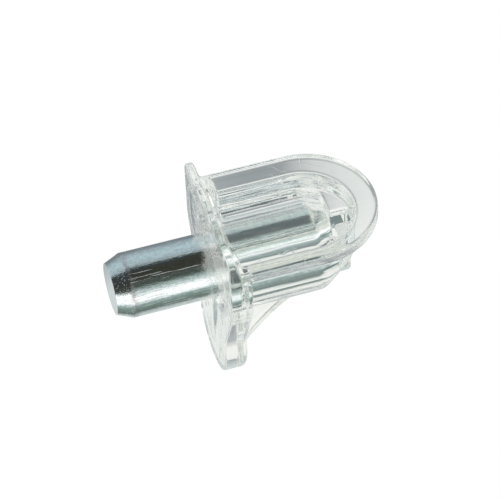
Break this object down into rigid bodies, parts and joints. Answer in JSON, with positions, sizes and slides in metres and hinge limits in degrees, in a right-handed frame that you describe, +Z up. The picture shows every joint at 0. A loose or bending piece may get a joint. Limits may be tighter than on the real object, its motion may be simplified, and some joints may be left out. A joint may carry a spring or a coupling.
{
  "type": "shelf support pin",
  "caption": "Plug-in shelf support: a clear moulded seat with a round tip, flange, stop lip and rib, on a steel pin for a 5 mm system hole.",
  "frame": {"origin": "on the pin's axis, in the plane of the flange face that lies against the cabinet side", "axes": "+X along the pin from the cabinet side towards the tip of the seat, +Y across the seat, +Z up, square to the seat"},
  "size_m": [0.0208, 0.0116, 0.0163],
  "materials": {
    "clear_plastic": "water-clear injection-moulded polymer, glossy",
    "zinc_steel": "bright zinc-plated turned steel"
  },
  "bodies": {
    "root": {"support_body": "clear_plastic", "steel_pin": "zinc_steel"}
  },
  "joints": []
}
